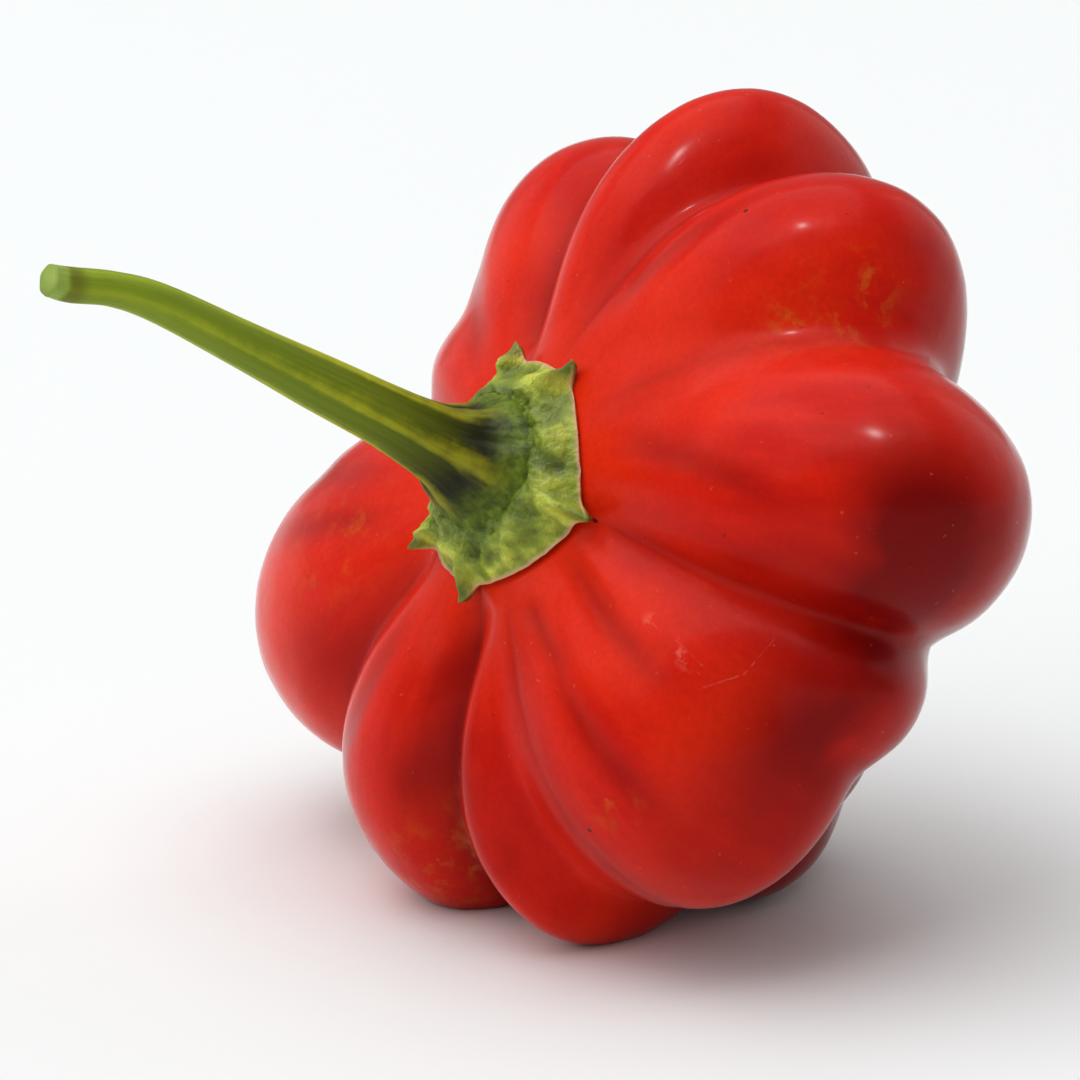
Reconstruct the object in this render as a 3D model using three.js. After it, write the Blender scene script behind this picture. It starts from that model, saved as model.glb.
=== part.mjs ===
// A ripe red chilli pepper of the squat, deeply lobed kind, lying on its side as picked, with its green
// calyx and stalk. The fruit is one body, the calyx sits on its shoulder and the stalk stands on the calyx.
//
// Lengths are in millimetres and angles in degrees, +Z is up and the surface it lies on is z = 0. The
// fruit's own frame has its z axis running from the blossom end to the stalk, and its turns are measured
// about that axis from the side that faces up. The origin is under the middle of the part's own box.
import * as THREE from 'three';

// How the fruit lies
const AXIS_RISE = 24.9; // of the fruit's axis above the surface it lies on, toward the stalk
const FLAT_DEPTH = 0.95; // how much of each resting lobe is pressed flat

// The fruit's inner swelling, which the lobes stand out of
const CORE = { radius: 17.0, above: 10.0, below: 16.5 };
const LOBE_BLEND = 0.4; // how softly one lobe runs into the next: small keeps the furrows sharp
const CORE_BLEND = 1.6; // how softly the lobes run into the swelling

// Each lobe is an egg: its turn about the axis, its middle's distance out and height (rise), and its half
// sizes outward, aside, toward the stalk (above) and toward the blossom end (below)
const LOBES = [
  ['top lobe', 38, 12.5, 0.0, 11.5, 8.2, 8.5, 12.0],
  ['web behind the top lobe', 70, 8.0, 0.0, 10.2, 9.0, 8.5, 12.0],
  ['narrow top lobe', 3, 13.0, 0.0, 11.9, 5.2, 10.5, 12.0],
  ['web in the top pair', -14, 8.0, 0.0, 10.6, 7.0, 10.4, 12.0],
  ['upper side lobe', -28, 13.0, 0.0, 10.9, 7.2, 10.5, 9.5],
  ['web in the side pair', -50, 8.0, 0.0, 12.0, 9.0, 10.4, 10.0],
  ['side lobe', -73, 13.0, 0.0, 12.6, 8.6, 10.5, 10.5],
  ['lower side lobe', -133, 12.5, 0.0, 11.4, 10.6, 10.6, 6.6],
  ['shoulder of the lower side lobe', -105, 12.0, -1.0, 10.3, 7.0, 8.0, 7.5],
  ['web by the lower side lobe', -150, 8.0, 0.0, 12.5, 8.0, 10.4, 8.0],
  ['narrow lower lobe', -166, 12.4, 0.0, 11.6, 4.5, 10.5, 10.0],
  ['web in the lower pair', 173, 8.0, 0.0, 11.6, 9.0, 10.2, 8.0],
  ['lower lobe', 165, 13.0, 0.5, 12.1, 9.2, 10.5, 8.6],
  ['heel of the lower lobe', 172, 10.2, -11.6, 8.2, 8.0, 9.0, 8.0],
  ['heel of the narrow lobe', -163, 10.3, -9.8, 9.2, 6.4, 9.0, 7.0],
  ['far side lobe', 121, 14.5, 0.8, 14.3, 10.3, 10.0, 12.0],
].map(([name, turn, out, rise, outward, aside, above, below]) => (
  { name, turn, out, rise, outward, aside, above, below }
));

// The furrows between the lobes. Each runs from one turn at the calyx to another at the fruit's widest,
// and has a depth on the shoulder and one beyond the widest. Angles are measured from the stalk end
const FURROWS = [
  { fromTurn: 28, toTurn: 21, shoulder: 0.7, beyond: 1.3 },
  { fromTurn: -12, toTurn: -12, shoulder: 0.3, beyond: 1.3 },
  { fromTurn: -49, toTurn: -49, shoulder: 0.0, beyond: 1.3 },
  { fromTurn: -97, toTurn: -94, shoulder: 1.0, beyond: 0.4 },
  { fromTurn: -150, toTurn: -147, shoulder: 0.0, beyond: 1.0 },
  { fromTurn: 190, toTurn: 179, shoulder: 1.3, beyond: 1.0 },
  { fromTurn: 142, toTurn: 145, shoulder: 0.9, beyond: 1.3 },
  { fromTurn: 84, toTurn: 80, shoulder: 0.8, beyond: 1.3 },
];
const FURROW_WIDTH = 1.6;
const FURROW_ANGLES = { start: 26, full: 48, widest: 90, beyond: 120, fading: 158, gone: 176 };

// The blossom end: a shallow dimple with the small scar of the flower in it
const DIMPLE = { width: 11, depth: 0.9 };
const SCAR = { width: 3.2, height: 0.45 };

// The calyx: a bumpy six-toothed cap. Each tooth has its turn, its reach from the axis, how far its tip
// curls up, and the rim's distance from the axis halfway to the next tooth
const TEETH = [
  { turn: 23, reach: 7.4, curl: 0.5, rimAfter: 6.0 },
  { turn: 82, reach: 7.4, curl: 0.5, rimAfter: 6.2 },
  { turn: 142, reach: 7.5, curl: 0.9, rimAfter: 6.5 },
  { turn: 187, reach: 7.7, curl: 0.3, rimAfter: 6.4 },
  { turn: 263, reach: 7.7, curl: 0.2, rimAfter: 5.9 },
  { turn: 335, reach: 7.6, curl: 0.4, rimAfter: 6.2 },
];
const HORN = { length: 0.95, width: 0.6, height: 0.3 }; // the narrow raised tip of each tooth
const SEAT = { radius: 4.0, height: 1.9 }; // the flat top of the calyx's boss, which carries the stalk
const CALYX_SKIRT = 1.15; // thickness of the calyx halfway to its rim
const CALYX_RIM = 0.4; // thickness of its rim
const BOSS_FALL = 0.7; // distance over which the boss falls away to the skirt
const THIN_FROM = 0.78; // share of the way out to the rim where the calyx starts to thin
const CURL_FROM = 0.75; // share of the way out where its teeth start to curl up
const RIDGE = { height: 0.45, width: 0.75 }; // the ridge that runs out along each tooth
const CALYX_GAP = 0.3; // clearance between the fruit and the calyx, and between the calyx and the stalk

// Swellings and hollows of the calyx: turn, distance from the axis, width and height
const SWELLINGS = [
  { turn: -77, out: 4.9, width: 0.6, height: -0.6 },
  { turn: -164, out: 4.8, width: 0.7, height: -0.65 },
  { turn: 16, out: 5.1, width: 0.6, height: -0.5 },
  { turn: -36, out: 4.8, width: 0.6, height: -0.3 },
  { turn: -107, out: 4.8, width: 0.6, height: -0.4 },
  { turn: 148, out: 5.1, width: 0.7, height: -0.5 },
  { turn: 112, out: 4.9, width: 0.7, height: -0.5 },
  { turn: 52, out: 4.8, width: 0.7, height: -0.5 },
  { turn: -56, out: 4.9, width: 0.9, height: 0.45 },
  { turn: -92, out: 4.6, width: 0.8, height: 0.4 },
  { turn: -14, out: 5.0, width: 0.8, height: 0.45 },
  { turn: -133, out: 4.7, width: 0.9, height: 0.4 },
  { turn: 167, out: 4.9, width: 0.8, height: 0.4 },
  { turn: 95, out: 5.2, width: 0.9, height: 0.35 },
  { turn: 65, out: 5.0, width: 0.8, height: 0.35 },
];

// The stalk from its foot to its cut end: height above the foot, how far its middle line leans toward the
// fruit's upper side, and its radius
const STALK = [
  { height: 0.0, lean: 0.0, radius: 3.4 },
  { height: 1.0, lean: 0.0, radius: 2.95 },
  { height: 2.2, lean: 0.1, radius: 2.4 },
  { height: 3.8, lean: 0.25, radius: 2.0 },
  { height: 7.4, lean: 0.7, radius: 1.68 },
  { height: 11.9, lean: 1.15, radius: 1.5 },
  { height: 17.7, lean: 1.75, radius: 1.22 },
  { height: 23.3, lean: 2.3, radius: 1.04 },
  { height: 26.4, lean: 2.2, radius: 0.9 },
  { height: 28.9, lean: 1.7, radius: 0.9 },
  { height: 30.3, lean: 1.55, radius: 0.82 },
];
const RIB = { width: 22, atFoot: 0.3, atEnd: 0.06 }; // the stalk's ribs, one over each tooth of the calyx
const CUT_DISH = 0.25; // how far the cut end is sunk in its middle

// How finely each body is divided
const FRUIT_GRID = { around: 90, along: 38 };
const CALYX_STEPS_PER_TOOTH = 14;
const CROWDING = 0.65; // how much closer the calyx's steps stand at the teeth than halfway between them
const CALYX_UNDERSIDE = [0.35, 0.7, 0.93];
const CALYX_TOP = [0.985, 0.9, 0.8, 0.7, 0.62, 0.55, 0.48, 0.4, 0.2];
const STALK_GRID = { around: 30, along: 30 };
const SEARCH_STEPS = 30;
const SEARCH_REACH = 40; // beyond any point of the fruit

const fruitMaterial = new THREE.MeshStandardMaterial({ color: 0xc81f10, roughness: 0.28, metalness: 0 });
const calyxMaterial = new THREE.MeshStandardMaterial({ color: 0x93a83a, roughness: 0.6, metalness: 0 });
const stalkMaterial = new THREE.MeshStandardMaterial({ color: 0x66801f, roughness: 0.55, metalness: 0 });

const radians = THREE.MathUtils.degToRad;
const lerp = THREE.MathUtils.lerp;
const smoothstep = THREE.MathUtils.smoothstep;
const bell = (distance, width) => Math.exp(-((distance / width) ** 2));

// The turn from one direction about the axis to another, between -180 and 180 degrees
function turnBetween(from, to) {
  return THREE.MathUtils.euclideanModulo(to - from + 180, 360) - 180;
}

function polar(turn, out, height) {
  return new THREE.Vector3(out * Math.cos(radians(turn)), out * Math.sin(radians(turn)), height);
}

// Signed distance, roughly, from a point to an egg: negative inside
function eggDistance(point, egg) {
  const offset = point.clone().sub(polar(egg.turn, egg.out, egg.rise));
  const cos = Math.cos(radians(egg.turn));
  const sin = Math.sin(radians(egg.turn));
  const halfHeight = offset.z > 0 ? egg.above : egg.below;
  const a = (offset.x * cos + offset.y * sin) / egg.outward;
  const b = (offset.y * cos - offset.x * sin) / egg.aside;
  const c = offset.z / halfHeight;
  const size = Math.hypot(a, b, c);
  const slope = Math.hypot(a / egg.outward, b / egg.aside, c / halfHeight);
  return ((size - 1) * size) / Math.max(slope, 1e-9);
}

// The smallest of some distances, with the furrows between them rounded off by the blend
function softMinimum(distances, blend) {
  const least = Math.min(...distances);
  const sum = distances.reduce((total, distance) => total + Math.exp((least - distance) / blend), 0);
  return least - blend * Math.log(sum);
}

const coreEgg = { turn: 0, out: 0, rise: 0, outward: CORE.radius, aside: CORE.radius, ...CORE };

function fruitDistance(point) {
  const lobes = softMinimum(LOBES.map((lobe) => eggDistance(point, lobe)), LOBE_BLEND);
  return softMinimum([lobes, eggDistance(point, coreEgg)], CORE_BLEND);
}

// The last point inside the fruit on the line from one point toward another
function lastInside(from, toward) {
  let near = 0;
  let far = 1;
  for (let step = 0; step < SEARCH_STEPS; step += 1) {
    const middle = (near + far) / 2;
    if (fruitDistance(from.clone().lerp(toward, middle)) < 0) {
      near = middle;
    } else {
      far = middle;
    }
  }
  return from.clone().lerp(toward, near);
}

// How far one furrow sinks the skin at a turn and an angle, a distance out from the axis
function furrowDepth(furrow, turn, angle, out) {
  const { start, full, widest, beyond, fading, gone } = FURROW_ANGLES;
  const middleTurn = lerp(furrow.fromTurn, furrow.toTurn, smoothstep(angle, start, widest));
  const depth = lerp(furrow.shoulder, furrow.beyond, smoothstep(angle, widest, beyond));
  const aside = out * radians(turnBetween(middleTurn, turn));
  const reach = smoothstep(angle, start, full) * (1 - smoothstep(angle, fading, gone));
  return depth * reach * bell(aside, FURROW_WIDTH);
}

// The fruit's skin in one direction from its middle: a turn about the axis, and an angle from the stalk end
function fruitPoint(turn, angle) {
  const direction = polar(turn, Math.sin(radians(angle)), Math.cos(radians(angle)));
  const skin = lastInside(new THREE.Vector3(), direction.clone().multiplyScalar(SEARCH_REACH));
  const out = skin.length() * Math.sin(radians(angle));
  const furrow = FURROWS.reduce((sum, each) => sum + furrowDepth(each, turn, angle, out), 0);
  const fromEnd = 180 - angle;
  const dimple = DIMPLE.depth * bell(fromEnd, DIMPLE.width) - SCAR.height * bell(fromEnd, SCAR.width);
  return skin.addScaledVector(direction, -furrow - dimple);
}

// The height of the fruit's shoulder above the middle, straight over a point near the axis
function shoulderHeight(turn, out) {
  return lastInside(polar(turn, out, 0), polar(turn, out, SEARCH_REACH)).z;
}

// A closed body from rings of points, each ring running the same way round, with a point at either end
function closedSkin(firstPoint, rings, lastPoint) {
  const around = rings[0].length;
  const points = [firstPoint, ...rings.flat(), lastPoint];
  const last = points.length - 1;
  const faces = [];
  for (let k = 0; k < around; k += 1) {
    const next = (k + 1) % around;
    faces.push(0, 1 + k, 1 + next);
    for (let ring = 0; ring < rings.length - 1; ring += 1) {
      const here = 1 + ring * around;
      const below = here + around;
      faces.push(here + k, below + k, below + next);
      faces.push(here + k, below + next, here + next);
    }
    const end = last - around;
    faces.push(end + k, last, end + next);
  }
  const geometry = new THREE.BufferGeometry().setFromPoints(points);
  geometry.setIndex(faces);
  geometry.computeVertexNormals();
  return geometry;
}

function ringOf(around, pointAt) {
  return Array.from({ length: around }, (_, k) => pointAt((360 * k) / around));
}

function fruitGeometry() {
  const rings = [];
  for (let row = 1; row < FRUIT_GRID.along; row += 1) {
    rings.push(ringOf(FRUIT_GRID.around, (turn) => fruitPoint(turn, (180 * row) / FRUIT_GRID.along)));
  }
  return closedSkin(fruitPoint(0, 0), rings, fruitPoint(0, 180));
}

// One column of the calyx, at some share of the way from a tooth to the next one: its turn, its rim's
// distance from the axis, and how much of the nearer tooth's horn it holds, with the horn's curl
function calyxColumn(tooth, nextTooth, share) {
  const span = THREE.MathUtils.euclideanModulo(nextTooth.turn - tooth.turn, 360);
  const nearer = share < 0.5 ? tooth : nextTooth;
  const fromMiddle = Math.abs(2 * share - 1);
  const aside = nearer.reach * radians((span * (1 - fromMiddle)) / 2);
  const horn = bell(aside, HORN.width);
  const corner = lerp(tooth.rimAfter, nearer.reach - HORN.length, fromMiddle ** 2);
  return {
    turn: tooth.turn + span * share,
    rim: corner + HORN.length * horn,
    horn,
    curl: nearer.curl * horn,
  };
}

// The height of the calyx's upper side, with its boss, ridges, swellings and hollows
function calyxTop(turn, out) {
  const here = polar(turn, out, 0);
  let relief = 0;
  for (const tooth of TEETH) {
    const away = radians(turnBetween(tooth.turn, turn));
    relief += Math.cos(away) > 0 ? RIDGE.height * bell(out * Math.sin(away), RIDGE.width) : 0;
  }
  for (const swelling of SWELLINGS) {
    const distance = here.distanceTo(polar(swelling.turn, swelling.out, 0));
    relief += swelling.height * bell(distance, swelling.width);
  }
  const skirt = shoulderHeight(turn, out) + CALYX_GAP + CALYX_SKIRT + relief;
  const seat = shoulderHeight(0, 0) + CALYX_GAP + SEAT.height;
  return lerp(skirt, seat, bell(Math.max(out - SEAT.radius, 0), BOSS_FALL));
}

function calyxGeometry() {
  const columns = [];
  TEETH.forEach((tooth, index) => {
    const nextTooth = TEETH[(index + 1) % TEETH.length];
    for (let step = 0; step < CALYX_STEPS_PER_TOOTH; step += 1) {
      const even = step / CALYX_STEPS_PER_TOOTH;
      const share = even - (CROWDING * Math.sin(2 * Math.PI * even)) / (2 * Math.PI);
      columns.push(calyxColumn(tooth, nextTooth, share));
    }
  });
  // A point of one column, at a share of the way out to its rim and a share of the thickness up
  const pointAt = (column, share, up) => {
    const out = column.rim * share;
    const thinned = smoothstep(share, THIN_FROM, 1);
    const bottom = shoulderHeight(column.turn, out) + CALYX_GAP;
    const rimTop = bottom + CALYX_RIM + HORN.height * column.horn;
    const top = lerp(calyxTop(column.turn, out), rimTop, thinned);
    const curl = column.curl * smoothstep(share, CURL_FROM, 1);
    return polar(column.turn, out, lerp(bottom, top, up) + curl);
  };
  const rings = CALYX_TOP.map((share) => columns.map((column) => pointAt(column, share, 1))).reverse();
  rings.push(columns.map((column) => pointAt(column, 1, 0.5)));
  rings.push(...CALYX_UNDERSIDE.map((share) => columns.map((column) => pointAt(column, share, 0))).reverse());
  const middle = { turn: 0, rim: 1, horn: 0, curl: 0 };
  return closedSkin(pointAt(middle, 0, 1), rings, pointAt(middle, 0, 0));
}

// The share by which the stalk stands out on its ribs and falls back between them
function stalkRelief(turn, share) {
  const strength = lerp(RIB.atEnd, RIB.atFoot, (1 - share) ** 4);
  const nearest = Math.min(...TEETH.map((tooth) => Math.abs(turnBetween(tooth.turn, turn))));
  return strength * (bell(nearest, RIB.width) - 0.5);
}

function stalkGeometry() {
  const foot = shoulderHeight(0, 0) + CALYX_GAP + SEAT.height + CALYX_GAP;
  const smooth = (points) => new THREE.CatmullRomCurve3(points, false, 'catmullrom', 0.5);
  const line = smooth(STALK.map(({ height, lean }) => new THREE.Vector3(lean, 0, foot + height)));
  const radii = smooth(STALK.map(({ radius }) => new THREE.Vector3(radius, 0, 0)));
  const sideways = new THREE.Vector3(0, 1, 0);
  const rings = [];
  for (let step = STALK_GRID.along; step >= 0; step -= 1) {
    const share = step / STALK_GRID.along;
    const upward = new THREE.Vector3().crossVectors(sideways, line.getTangent(share));
    rings.push(ringOf(STALK_GRID.around, (turn) => {
      const radius = radii.getPoint(share).x * (1 + stalkRelief(turn, share));
      return line.getPoint(share)
        .addScaledVector(upward, radius * Math.cos(radians(turn)))
        .addScaledVector(sideways, radius * Math.sin(radians(turn)));
    }));
  }
  const cut = line.getPoint(1).addScaledVector(line.getTangent(1), -CUT_DISH);
  return closedSkin(cut, rings, line.getPoint(0));
}

// Lay a body down: turn the fruit's axis from upright toward -X, then lower it, and press flat what
// would reach below the surface
function layDown(geometry, drop) {
  geometry.rotateY(radians(AXIS_RISE - 90));
  geometry.translate(0, 0, drop);
  const places = geometry.getAttribute('position');
  for (let k = 0; k < places.count; k += 1) {
    places.setZ(k, Math.max(places.getZ(k), 0));
  }
  geometry.computeVertexNormals();
}

function namedMesh(name, geometry, material) {
  const mesh = new THREE.Mesh(geometry, material);
  mesh.name = name;
  return mesh;
}

const fruit = fruitGeometry();
const lowest = fruit.clone().rotateY(radians(AXIS_RISE - 90));
lowest.computeBoundingBox();
const drop = -lowest.boundingBox.min.z - FLAT_DEPTH;
const bodies = [
  namedMesh('fruit', fruit, fruitMaterial),
  namedMesh('calyx', calyxGeometry(), calyxMaterial),
  namedMesh('pedicel', stalkGeometry(), stalkMaterial),
];
const chilli = new THREE.Group();
for (const body of bodies) {
  layDown(body.geometry, drop);
  chilli.add(body);
}
const middle = new THREE.Box3().setFromObject(chilli).getCenter(new THREE.Vector3());
chilli.position.set(-middle.x, -middle.y, 0);

export default chilli;
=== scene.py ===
# A ripe, squat, deeply lobed red chilli pepper lying on its side, as picked: waxy fruit, bumpy green
# calyx and ribbed stalk. Shapes are worked out in millimetres in the fruit's own frame, whose z axis runs
# from the blossom end to the stalk, and are laid down into the part's frame, in metres, as meshes.
import math

import bpy
import numpy as np
from mathutils import Matrix, Vector, noise


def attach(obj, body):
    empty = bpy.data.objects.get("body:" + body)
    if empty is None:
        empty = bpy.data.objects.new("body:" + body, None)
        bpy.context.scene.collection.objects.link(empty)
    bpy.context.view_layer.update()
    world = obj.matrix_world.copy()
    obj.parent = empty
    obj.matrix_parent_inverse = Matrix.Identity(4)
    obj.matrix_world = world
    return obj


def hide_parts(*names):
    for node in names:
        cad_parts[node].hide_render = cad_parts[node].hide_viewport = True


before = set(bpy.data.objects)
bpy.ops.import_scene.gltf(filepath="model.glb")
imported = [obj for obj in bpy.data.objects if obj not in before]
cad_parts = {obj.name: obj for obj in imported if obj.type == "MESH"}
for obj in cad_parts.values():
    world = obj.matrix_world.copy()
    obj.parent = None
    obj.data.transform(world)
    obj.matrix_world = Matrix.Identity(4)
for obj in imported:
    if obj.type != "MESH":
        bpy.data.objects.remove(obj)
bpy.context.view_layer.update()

MM = 0.001

# How the fruit lies, as in the part
AXIS_RISE = 24.9
RING_CENTRE = Vector((10.715, -0.509, 21.624))

# The fruit's lobes and furrows, as in the part: each lobe's turn, distance out, height, and half sizes
# outward, aside, toward the stalk and toward the blossom end
LOBES = [
    ("top lobe", 38, 12.5, 0.0, 11.5, 8.2, 8.5, 12.0),
    ("web behind the top lobe", 70, 8.0, 0.0, 10.2, 9.0, 8.5, 12.0),
    ("narrow top lobe", 3, 13.0, 0.0, 11.9, 5.2, 10.5, 12.0),
    ("web in the top pair", -14, 8.0, 0.0, 10.6, 7.0, 10.4, 12.0),
    ("upper side lobe", -28, 13.0, 0.0, 10.9, 7.2, 10.5, 9.5),
    ("web in the side pair", -50, 8.0, 0.0, 12.0, 9.0, 10.4, 10.0),
    ("side lobe", -73, 13.0, 0.0, 12.6, 8.6, 10.5, 10.5),
    ("lower side lobe", -133, 12.5, 0.0, 11.4, 10.6, 10.6, 6.6),
    ("shoulder of the lower side lobe", -105, 12.0, -1.0, 10.3, 7.0, 8.0, 7.5),
    ("web by the lower side lobe", -150, 8.0, 0.0, 12.5, 8.0, 10.4, 8.0),
    ("narrow lower lobe", -166, 12.4, 0.0, 11.6, 4.5, 10.5, 10.0),
    ("web in the lower pair", 173, 8.0, 0.0, 11.6, 9.0, 10.2, 8.0),
    ("lower lobe", 165, 13.0, 0.5, 12.1, 9.2, 10.5, 8.6),
    ("heel of the lower lobe", 172, 10.2, -11.6, 8.2, 8.0, 9.0, 8.0),
    ("heel of the narrow lobe", -163, 10.3, -9.8, 9.2, 6.4, 9.0, 7.0),
    ("far side lobe", 121, 14.5, 0.8, 14.3, 10.3, 10.0, 12.0),
]
CORE = ("core", 0, 0.0, 0.0, 17.0, 17.0, 10.0, 16.5)
LOBE_BLEND = 0.4
CORE_BLEND = 1.6
# A distance that is outside the fruit in every direction, and the steps of a search for its skin
FAR_OUT = 40.0
SEARCH_STEPS = 26

# Each furrow's turn at the calyx and at the fruit's widest, its depth on the shoulder and beyond the widest,
# and the depth of the fine crease at its bottom, which also strengthens the painted shade along it
FURROWS = [
    (28, 21, 0.7, 1.3, 0.30),
    (-12, -12, 0.3, 1.3, 0.15),
    (-49, -49, 0.0, 1.3, 0.0),
    (-97, -94, 1.0, 0.4, 0.15),
    (-150, -147, 0.0, 1.0, 0.10),
    (190, 179, 1.3, 1.0, 0.45),
    (142, 145, 0.9, 1.3, 0.20),
    (84, 80, 0.8, 1.3, 0.25),
]
FURROW_WIDTH = 1.6
CREASE_WIDTH = 0.45
# Angles from the stalk where the furrows start, are full, change from shoulder to far depth, fade and end
START, FULL, WIDEST, BEYOND, FADING, GONE = 26, 48, 90, 120, 158, 176
# How strongly furrows and folds darken the skin with painted shade
FURROW_SHADE, FOLD_SHADE = 0.25, 0.35
# Shallow folds within the lobes: turn and angle at either end, depth and width
FOLDS = [
    (-116, 38, -116, 62, 0.16, 0.7),
    (-134, 52, -131, 72, 0.22, 0.8),
    (-139, 38, -133, 50, 0.14, 0.6),
    (-68, 42, -80, 66, 0.12, 1.0),
    (-20, 48, -24, 66, 0.12, 0.8),
    (118, 44, 112, 66, 0.15, 1.1),
    (160, 44, 158, 66, 0.10, 0.9),
    (54, 46, 52, 80, 0.18, 1.2),
    (104, 50, 100, 90, 0.20, 1.2),
]
# The share of a fold's length over which it fades in and out
FOLD_FADE = 0.3
# Unevenness of the skin: height, size and the noise's seed
UNEVENNESS = [
    (0.16, 7.0, 1),
    (0.035, 1.8, 2),
]
NOISE_SHIFT = (17.3, 5.1, 9.7)
# Patches that haven't fully ripened: turn, angle and width in degrees, and strength
PATCHES = [
    (-43, 80, 5.5, 1.0),
    (-45, 70, 4.5, 0.7),
    (175, 79, 8.0, 0.8),
    (120, 52, 9.0, 0.45),
    (-137, 69, 4.0, 0.6),
    (70, 74, 9.0, 0.6),
    (-95, 118, 8.0, 0.5),
]
# Painted shade on the skin, on the flanks turned from the light and in the deepest creases, given the same
# way
PAINTED_SHADE_PARTS = [
    (-77, 79, 10.0, 0.7),
    (-77, 91, 14.0, 0.7),
    (-90, 86, 11.0, 0.9),
    (-106, 88, 13.0, 0.9),
    (-118, 84, 11.0, 0.6),
    (-134, 84, 9.0, 0.5),
    (-36, 92, 8.0, 0.5),
    (-172, 47, 4.5, 0.8),
    (-167, 58, 6.0, 1.1),
    (-166, 70, 5.0, 0.8),
    (180, 50, 4.5, 0.6),
    (177, 62, 6.5, 0.8),
    (137, 62, 7.0, 0.4),
    (-90, 66, 5.0, 0.4),
]
# The dimple at the blossom end and the flower's scar in it: widths in degrees
DIMPLE_WIDTH, DIMPLE_DEPTH = 11, 0.9
SCAR_WIDTH, SCAR_HEIGHT = 3.2, 0.45

# Fine pale scratches, a painted highlight as two wider pale streaks, and dark flecks on the skin, each a
# short line between two places in the part's frame
SCRATCHES = [
    ((0.3, -14.1, 21.1), (1.1, -17.1, 18.9)),
    ((0.5, -14.9, 20.9), (1.4, -17.2, 19.2)),
    ((-0.1, -13.9, 20.9), (0.5, -16.0, 19.3)),
    ((0.9, -17.4, 18.2), (3.0, -18.5, 18.9)),
    ((3.0, -18.5, 18.9), (4.7, -18.9, 20.6)),
    ((-4.2, -5.1, 13.3), (-4.8, -5.0, 11.1)),
    ((-4.8, -5.0, 11.1), (-3.9, -2.9, 9.3)),
    ((-3.9, -2.9, 9.3), (-2.6, -1.7, 6.4)),
    ((-3.1, -8.4, 17.1), (-3.1, -8.9, 17.1)),
    ((11.5, -1.9, 42.1), (13.5, -1.5, 43.3)),
]
# A painted highlight on the lower side lobe
PAINTED_HIGHLIGHTS = [
    ((0.2, -14.0, 21.2), (0.9, -16.4, 19.5)),
    ((0.6, -14.0, 22.9), (2.0, -16.2, 22.9)),
]
DARK_FLECKS = [
    ((10.4, -9.0, 41.0), (10.5, -9.0, 41.0)),
    ((1.3, -7.3, 25.2), (1.5, -7.5, 24.9)),
    ((1.4, -7.4, 25.0), (1.8, -7.7, 24.8)),
    ((15.4, -21.4, 20.0), (15.6, -21.5, 19.8)),
    ((-2.6, -12.4, 9.6), (-2.6, -12.5, 9.6)),
    ((0.0, -8.9, 5.0), (0.1, -8.9, 5.0)),
]

# The calyx's teeth, as in the part: turn, reach, curl of the tip, and the rim halfway to the next tooth.
# Their horns are narrower and the rim thinner than in the part.
TEETH = [
    (23, 7.4, 0.5, 6.0),
    (82, 7.4, 0.5, 6.2),
    (142, 7.5, 0.9, 6.5),
    (187, 7.7, 0.3, 6.4),
    (263, 7.7, 0.2, 5.9),
    (335, 7.6, 0.4, 6.2),
]
HORN_LENGTH, HORN_WIDTH, HORN_HEIGHT = 1.15, 0.42, 0.3
SEAT_RADIUS, SEAT_HEIGHT = 4.0, 1.9
CALYX_SKIRT, CALYX_RIM, BOSS_FALL = 1.15, 0.24, 0.7
RIDGE_HEIGHT, RIDGE_WIDTH = 0.45, 0.75
CALYX_GAP = 0.3
# How close the calyx's underside lies to the skin
HUG = 0.04
# The calyx's first ring on top, its first and last ring below, and where it starts to thin and to curl,
# as shares of the way from its middle to its rim
TOP_START, UNDER_START, UNDER_END = 0.04, 0.97, 0.05
THIN_FROM, CURL_FROM = 0.78, 0.75
# Its lumps: height, size and the noise's seed. They start beside the stalk and sink toward the rim.
LUMPS = [
    (0.30, 0.95, 3),
    (0.18, 0.42, 4),
    (0.06, 0.2, 6),
]
LUMPS_START, LUMPS_FULL = 3.0, 4.2
LUMPS_SINK_FROM, LUMPS_AT_RIM = 0.85, 0.35
# What the calyx's colours read: its size, how much lumps sway its painted shade and light, and where tips and
# rim begin
CALYX_SIZE, LUMP_SHADING = 7, 1.6
TIP_FROM, TIP_FULL, RIM_FROM = 0.72, 0.97, 0.955
# Its swellings and hollows: turn, distance from the axis, width and height
SWELLINGS = [
    (-77, 4.9, 0.6, -0.6),
    (-164, 4.8, 0.7, -0.65),
    (16, 5.1, 0.6, -0.5),
    (-36, 4.8, 0.6, -0.3),
    (-107, 4.8, 0.6, -0.4),
    (148, 5.1, 0.7, -0.5),
    (112, 4.9, 0.7, -0.5),
    (52, 4.8, 0.7, -0.5),
    (-56, 4.9, 0.9, 0.45),
    (-92, 4.6, 0.8, 0.4),
    (-14, 5.0, 0.8, 0.45),
    (-133, 4.7, 0.9, 0.4),
    (167, 4.9, 0.8, 0.4),
    (95, 5.2, 0.9, 0.35),
    (65, 5.0, 0.8, 0.35),
]

# The stalk from its foot to its cut end, as in the part: height, lean and radius
STALK = [
    (0.0, 0.0, 3.4),
    (1.0, 0.0, 2.95),
    (2.2, 0.1, 2.4),
    (3.8, 0.25, 2.0),
    (7.4, 0.7, 1.68),
    (11.9, 1.15, 1.5),
    (17.7, 1.75, 1.22),
    (23.3, 2.3, 1.04),
    (26.4, 2.2, 0.9),
    (28.9, 1.7, 0.9),
    (30.3, 1.55, 0.82),
]
RIB_WIDTH, RIB_AT_FOOT, RIB_AT_END = 22, 0.3, 0.06
CUT_DISH = 0.25
# The stalk's root: how far it runs down onto the calyx's boss, and its radius there
ROOT_DEPTH, ROOT_RADIUS = 0.62, 3.95
# The heights between which its ribs rise out of the root
RIBS_START, RIBS_FULL = -0.5, 2.2
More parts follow.
